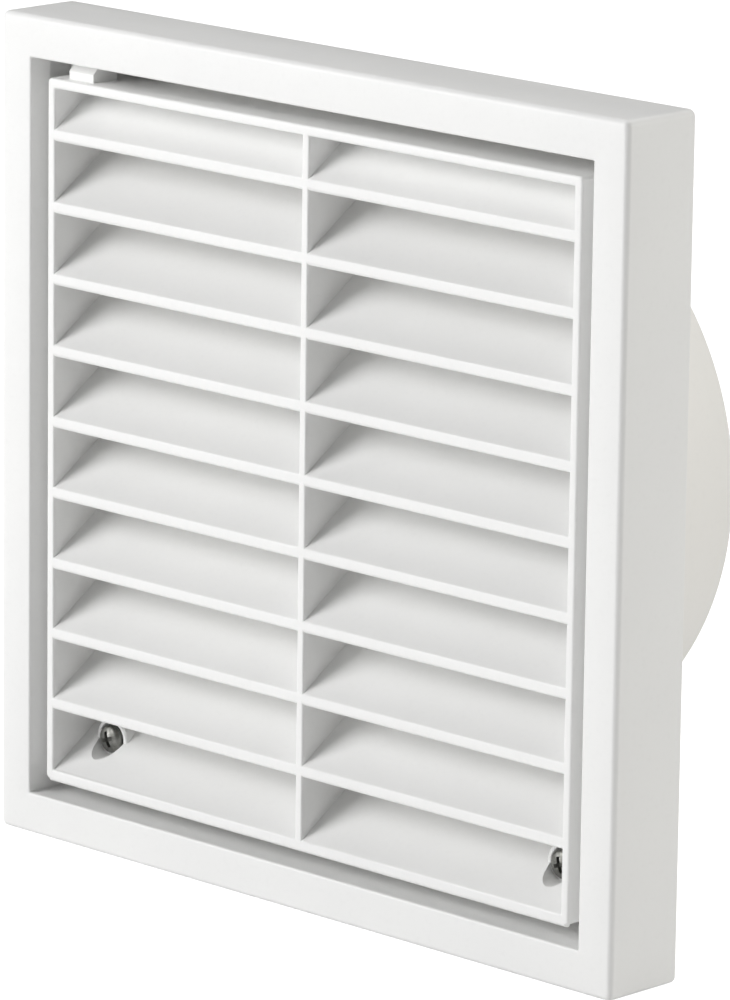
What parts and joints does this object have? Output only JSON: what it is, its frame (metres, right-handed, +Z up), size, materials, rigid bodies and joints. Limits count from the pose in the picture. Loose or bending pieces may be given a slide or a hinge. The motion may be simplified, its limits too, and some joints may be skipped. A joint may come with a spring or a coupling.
{
  "type": "louvred air grille",
  "caption": "Square wall-mounted air grille with fixed horizontal louvres on a removable insert, a fly screen and a round duct spigot behind.",
  "frame": {"origin": "on the duct's axis, in the plane of the wall that the grille's back lies against", "axes": "+X to the right seen from the room or street side, +Y into the wall along the duct, +Z up; the louvres face -Y"},
  "size_m": [0.14, 0.0505, 0.14],
  "materials": {
    "surround_white": "satin white moulded ABS",
    "insert_white": "satin white moulded ABS",
    "plate_white": "satin white moulded ABS, slightly warm",
    "ring_white": "satin white moulded ABS",
    "screen_white": "matt moulded polypropylene mesh",
    "screw_dark": "dark plated steel",
    "screw_bright": "bright zinc plated steel"
  },
  "bodies": {
    "housing": {"outer_frame": "surround_white", "spigot_plate": "plate_white", "fly_screen": "screen_white", "screen_ring": "ring_white", "frame_screw_1": "screw_bright", "frame_screw_2": "screw_bright", "frame_screw_3": "screw_bright", "frame_screw_4": "screw_bright"},
    "insert": {"louvre_insert": "insert_white", "insert_screw_left": "screw_dark", "insert_screw_right": "screw_dark"}
  },
  "joints": [
    {"name": "insert_pull", "type": "slide", "parent": "housing", "child": "insert", "axis": [0, -1, 0], "range_m": [0, 0.045]}
  ]
}
